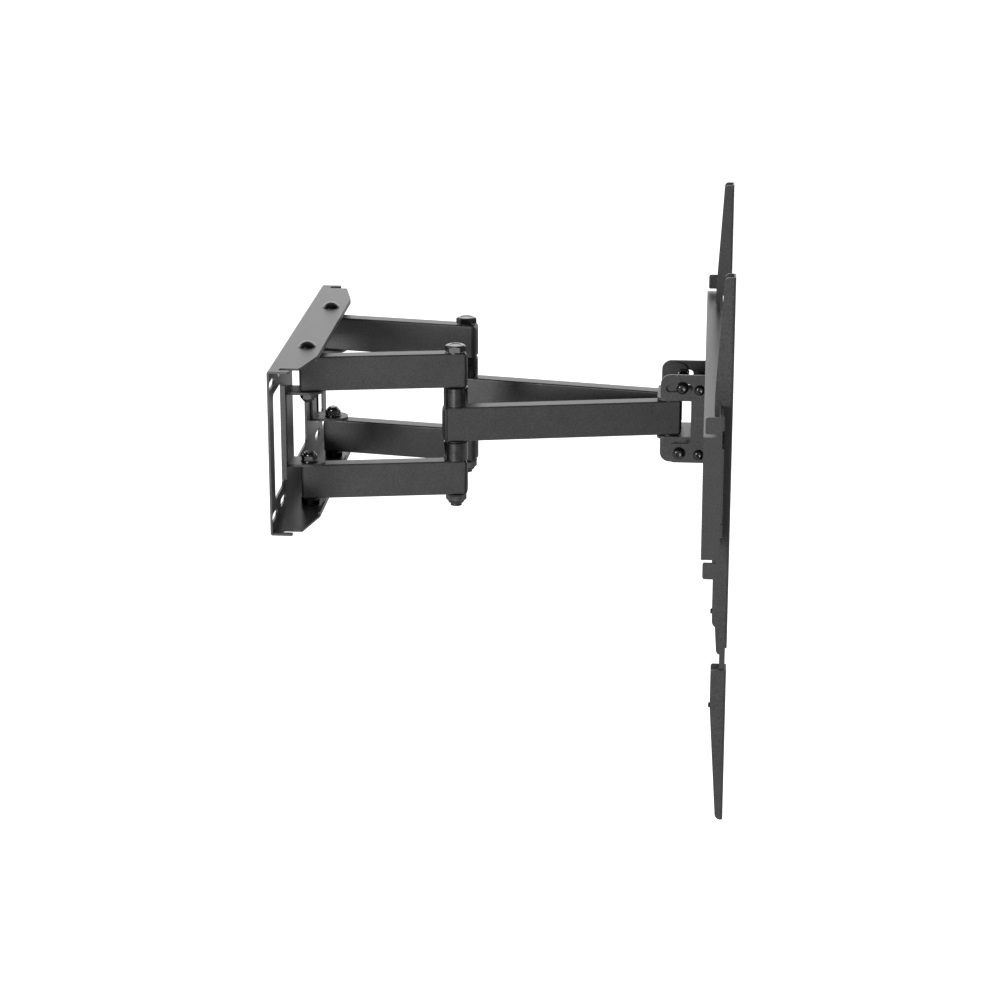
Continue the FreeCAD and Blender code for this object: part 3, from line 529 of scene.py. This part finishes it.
def buildTiltHead():
    tilt = {"radius": 7.5, "high": 4.5, "socket": 5, "depth": 2.6, "shank": 4, "tip": 22,
            "threadLength": 4.5, "pitch": 1.25, "nutAcross": 13, "nutHigh": 6.5, "nutBore": 4.2}
    nut = plainNut(tilt["nutAcross"], tilt["nutHigh"], tilt["nutBore"])
    washerFace = boxOf("tilt_washers")[1].y
    nutFace = boxOf("tilt_nuts")[1].y
    spots = [crossScrews("tiltPivotButtonScrews", "tilt_pivot_screws", washerFace, tilt),
             crossScrews("tiltLockButtonScrews", "tilt_lock_screws", washerFace, tilt)]
    places = [((x, sign * nutFace, z), (0, -sign, 0)) for x, z in spots for sign in (-1, 1)]
    fastenerPiece("tiltNuts", [{"rings": nut, "places": places}], "tilt_nuts")

    cheek = {"radius": 6.5, "high": 3.9, "socket": 4, "depth": 2.2, "shank": 3, "length": 11.5,
             "threadLength": 4, "pitch": 1.0, "nutAcross": 10, "nutHigh": 4.5, "nutBore": 3.2, "tab": 3}
    low, high, middle = boxOf("cheek_screws")
    spots = [(middle.x, high.z - cheek["radius"]), (middle.x, low.z + cheek["radius"])]
    face = boxOf("yoke_cheek_right")[1].y
    nutFace = boxOf("yoke_cheek_right")[0].y - cheek["tab"]
    fastenerPiece("cheekScrewsAndNuts", [{
        "rings": domedHead(cheek["radius"], cheek["high"], cheek["socket"], cheek["depth"]),
        "shank": (cheek["shank"], -cheek["length"], cheek["length"]),
        "thread": (cheek["shank"], -cheek["length"] + 0.5, cheek["threadLength"], cheek["pitch"]),
        "places": [((x, sign * face, z), (0, sign, 0)) for x, z in spots for sign in (-1, 1)],
    }, {
        "rings": plainNut(cheek["nutAcross"], cheek["nutHigh"], cheek["nutBore"]),
        "places": [((x, sign * nutFace, z), (0, -sign, 0)) for x, z in spots for sign in (-1, 1)],
    }], "cheek_screws")

    base = {"rows": (-36, 34), "threadLength": 5}
    low, high = boxOf("yoke_base_screws")[:2]
    y = high.y - tilt["radius"]
    back, front = low.x + tilt["high"], boxOf("tv_plate")[1].x
    grid = [(side * y, z) for side in (-1, 1) for z in base["rows"]]
    length = high.x - back
    fastenerPiece("yokeBaseScrewsAndNuts", [{
        "rings": domedHead(tilt["radius"], tilt["high"], tilt["socket"], tilt["depth"]),
        "shank": (tilt["shank"], -length, length),
        "thread": (tilt["shank"], -length + 0.6, base["threadLength"], tilt["pitch"]),
        "places": [((back, y, z), (-1, 0, 0)) for y, z in grid],
    }, {
        "rings": nut,
        "places": [((front, y, z), (1, 0, 0)) for y, z in grid],
    }], "yoke_base_screws")


def buildUprightBolts():
    join = {"rows": (-160, -275), "nutFaces": (529, 531), "radius": 3, "edge": 0.4, "headHigh": 0.8,
            "threadStart": 4, "pitch": 1.0, "nutAcross": 10, "nutHigh": 5, "nutBore": 3.2}
    radius, edge, headHigh = join["radius"], join["edge"], join["headHigh"]
    for side in sides:
        low, high, middle = boxOf("extension_bolts_" + side)
        length = high.x - low.x
        fastenerPiece("extensionBoltsAndNuts_" + side, [{
            # the head is flush, so only a thin rounded disc of it shows
            "rings": [(0, 0, 0), (radius - edge, 0, 0), (radius, edge, 0), (radius, headHigh, 0),
                      (0, headHigh, 0)],
            "shank": (radius, edge, length - edge),
            "thread": (radius, join["threadStart"], length - join["threadStart"] - 0.6, join["pitch"]),
            "places": [((high.x, middle.y, z), (-1, 0, 0)) for z in join["rows"]],
        }, {
            "rings": plainNut(join["nutAcross"], join["nutHigh"], join["nutBore"]),
            "places": [((x, middle.y, z), (-1, 0, 0)) for x, z in zip(join["nutFaces"], join["rows"])],
        }], "extension_bolts_" + side)


def roundedOutline(halfY, halfZ, corner, perCorner=6):
    points = []
    for k, (sy, sz) in enumerate(((1, 1), (-1, 1), (-1, -1), (1, -1))):
        for i in range(perCorner):
            angle = math.pi / 2 * (k + i / (perCorner - 1))
            points.append((sy * (halfY - corner) + corner * math.cos(angle),
                           sz * (halfZ - corner) + corner * math.sin(angle)))
    return points


def capMesh(name, plug, bulge):
    # moulded end plug: a pillowed head with a step at its rim, and a ribbed stem inside the tube
    rings = [(-plug["stem"], plug["wall"] + 0.5, 1.0), (-plug["stem"] + 1, plug["wall"] + 0.2, 1.4),
             (0.0, plug["wall"] + 0.2, 1.4), (0.0, 0.35, 2.0), (0.25, 0.05, 2.0), (plug["edge"], 0.0, 2.0)]
    reach = plug["halfY"]
    steps = 9
    for i in range(1, steps + 1):
        # the head rises fast at its rim and flattens towards the middle
        inset = reach * (1 - math.cos(math.pi / 2 * i / steps)) * 0.995
        rise = (bulge - plug["edge"]) * math.sin(math.pi / 2 * i / steps)
        rings.append((plug["edge"] + rise, inset, max(2.0 - inset, 0.02)))
    bm = bmesh.new()
    loops = []
    for x, inset, corner in rings:
        halfY = plug["halfY"] - inset
        outline = roundedOutline(halfY, plug["halfZ"] - inset, min(corner, halfY))
        loops.append([bm.verts.new((x * mm, y * mm, z * mm)) for y, z in outline])
    count = len(loops[0])
    bm.faces.new(list(reversed(loops[0])))
    for low, high in zip(loops, loops[1:]):
        for i in range(count):
            j = (i + 1) % count
            bm.faces.new((low[i], low[j], high[j], high[i]))
    bm.faces.new(loops[-1])
    return meshFrom(bm, name, 50)


def buildEndCaps():
    plug = {"halfY": 10, "halfZ": 21, "edge": 1.2, "stem": 5, "wall": 2.0}
    # how far each plug's rim stands past the joint's axis, and how far its head bulges
    armPlugs = {"node": "arm_end_caps_", "reach": (8, 9), "bulge": (2.4, 5.5)}
    forearmPlugs = {"node": "forearm_end_caps_", "reach": (11, 9), "bulge": (5.5, 5.5)}
    # the axes of the right side at arm height; the left side mirrors them
    wallPivot = Vector((boxOf("wall_pivot_bolts")[2].x, boxOf("pivot_bracket_right")[2].y, 0))
    elbow = boxOf("elbow_bolt_right")[2] * Vector((1, 1, 0))
    head = boxOf("head_bolt_right")[2] * Vector((1, 1, 0))
    armHeights = (boxOf("upper_arm_right")[2].z, boxOf("lower_arm_right")[2].z)
    for side, sign in sides.items():
        for name, look, first, last, heights in (
                ("armEndPlugs_", armPlugs, wallPivot, elbow, armHeights),
                ("forearmEndPlugs_", forearmPlugs, elbow, head, (0,))):
            along = (last - first).normalized()
            node = look["node"] + side
            ends = zip((first, last), (-along, along), look["reach"], look["bulge"])
            meshes = []
            for start, direction, reach, bulge in ends:
                at = start + direction * reach
                turn = Matrix.Rotation(math.atan2(direction.y, direction.x), 4, "Z")
                for z in heights:
                    mesh = capMesh(name, plug, bulge)
                    mesh.transform(Matrix.Translation(Vector((at.x, at.y, z)) * mm) @ turn)
                    if sign < 0:
                        mesh.transform(Matrix.Diagonal((1, -1, 1, 1)))
                        mesh.flip_normals()
                    meshes.append(mesh)
            addPiece(name + side, joinedMesh(name + side, meshes), slotOfNode[node], bodyOfNode[node],
                     [node])


def buildWelds():
    # fillet welds where each pivot bracket meets the wall plate
    weld = {"lift": 0.5, "gap": 0.4, "endInset": 8, "step": 2.1, "width": 1.9, "seed": 3}
    for side in sides:
        low, high = boxOf("pivot_bracket_" + side)[:2]
        ends = [low.z + weld["endInset"], high.z - weld["endInset"]]
        meshes = []
        for k, y in enumerate((low.y - weld["gap"], high.y + weld["gap"])):
            path = bpy.data.meshes.new("weldPath")
            path.from_pydata([Vector((low.x + weld["lift"], y, z)) * mm for z in ends], [(0, 1)], [])
            meshes.append(bakeTree("weld", path, trees["weld"], {
                "finish": finishes["powder_coat"], "step": weld["step"] * mm, "width": weld["width"] * mm,
                "seed": weld["seed"] + k}))
        name = "bracketWelds_" + side
        addPiece(name, joinedMesh(name, meshes), "powder_coat", "wall_side")


def buildCamera():
    # beside the mount, a little above it and looking slightly back to the wall
    view = {"at": (0.504, -3.121, 0.880), "yaw": 4.64, "pitch": 16.61, "lens": 95.32, "shiftY": -0.05}
    data = bpy.data.cameras.new("sideCamera")
    data.lens = view["lens"]
    data.shift_y = view["shiftY"]
    camera = bpy.data.objects.new("sideCamera", data)
    camera.location = view["at"]
    camera.rotation_euler = (math.radians(90 - view["pitch"]), 0, math.radians(view["yaw"]))
    scene.collection.objects.link(camera)
    scene.camera = camera


def softLight(name, light):
    data = bpy.data.lights.new(name, "AREA")
    data.shape = "RECTANGLE"
    data.size, data.size_y = light["size"]
    data.energy = light["power"]
    lamp = bpy.data.objects.new(name, data)
    lamp.location = light["at"]
    lamp.rotation_euler = (Vector(light["aim"]) - lamp.location).to_track_quat("-Z", "Y").to_euler()
    scene.collection.objects.link(lamp)


def buildStudio():
    studio = {"floorZ": -0.75, "floorHalf": 14.0, "paper": "#9a9a9a", "floorGlow": 0.32, "seenGlow": 1.2,
              "ceiling": 0.24, "nearSide": 0.4, "backdrop": 2.3, "darkEnd": 0.2}
    half = studio["floorHalf"]
    corners = [(x * half, y * half, studio["floorZ"]) for x, y in ((-1, -1), (1, -1), (1, 1), (-1, 1))]
    mesh = bpy.data.meshes.new("studioFloor")
    mesh.from_pydata(corners, [], [(0, 1, 2, 3)])
    floor = bpy.data.objects.new("studioFloor", mesh)
    scene.collection.objects.link(floor)
    material, tree, shader = startMaterial("studioPaperWhite", {
        "Base Color": linearColour(studio["paper"]), "Roughness": 0.9, "Emission Color": (1, 1, 1, 1)})
    # overexposed paper: white where it is seen, and only a soft glow on the mount
    seen = addNode(tree, "ShaderNodeLightPath").outputs["Is Camera Ray"]
    glow = addNode(tree, "ShaderNodeMapRange", inputs={
        "Value": seen, "To Min": studio["floorGlow"], "To Max": studio["seenGlow"]})
    tree.links.new(glow.outputs["Result"], shader.inputs["Emission Strength"])
    mesh.materials.append(material)
    world = bpy.data.worlds.new("studioWorld")
    world.use_nodes = True
    tree = world.node_tree
    tree.nodes.clear()
    direction = addNode(tree, "ShaderNodeTexCoord").outputs["Generated"]
    axes = addNode(tree, "ShaderNodeSeparateXYZ", inputs={0: direction}).outputs
    # a dark ceiling, a bright backdrop behind the mount and a dark end on the screen's side
    fades = (("Z", 0.3, 0.75, 1.0, studio["ceiling"]),
             ("Y", -0.2, 0.8, studio["nearSide"], studio["backdrop"]),
             ("X", 0.3, 0.8, 1.0, studio["darkEnd"]))
    glow = 1.0
    for axis, start, end, first, last in fades:
        fade = addNode(tree, "ShaderNodeMapRange", {"interpolation_type": "SMOOTHSTEP"}, {
            "Value": axes[axis], "From Min": start, "From Max": end, "To Min": first, "To Max": last})
        glow = addNode(tree, "ShaderNodeMath", {"operation": "MULTIPLY"},
                       {0: glow, 1: fade.outputs["Result"]}).outputs[0]
    # beyond the floor's edge the backdrop is as white as the floor
    seen = addNode(tree, "ShaderNodeLightPath").outputs["Is Camera Ray"]
    strength = addNode(tree, "ShaderNodeMath", {"operation": "MAXIMUM"}, {0: glow, 1: seen}).outputs[0]
    background = addNode(tree, "ShaderNodeBackground", inputs={"Strength": strength})
    addNode(tree, "ShaderNodeOutputWorld", inputs={"Surface": background.outputs[0]})
    scene.world = world
    scene.view_settings.view_transform = "Standard"
    # the last two light the back and the screen side, which the camera doesn't see
    lights = {
        "lowFrontSoftbox": {"at": (-0.5, -3.0, -0.4), "aim": (0.2, 0, 0), "size": (1.2, 0.8), "power": 10.5},
        "frontKey": {"at": (-1.2, -2.7, 0.25), "aim": (0.15, 0, 0), "size": (0.7, 0.7), "power": 46},
        "wallSideFill": {"at": (-2.4, 0.6, 0.7), "aim": (0.2, 0, 0), "size": (1.2, 1.2), "power": 26},
        "screenSideFill": {"at": (2.6, 1.4, 0.5), "aim": (0.4, 0, 0), "size": (1.2, 1.2), "power": 36},
    }
    for name, light in lights.items():
        softLight(name, light)


finishCadNodes()
for stage in (buildWallPivots, buildElbows, buildHeadPivots, buildTiltHead, buildUprightBolts,
              buildEndCaps, buildWelds, buildCamera, buildStudio):
    stage()
    print("stage done:", stage.__name__)
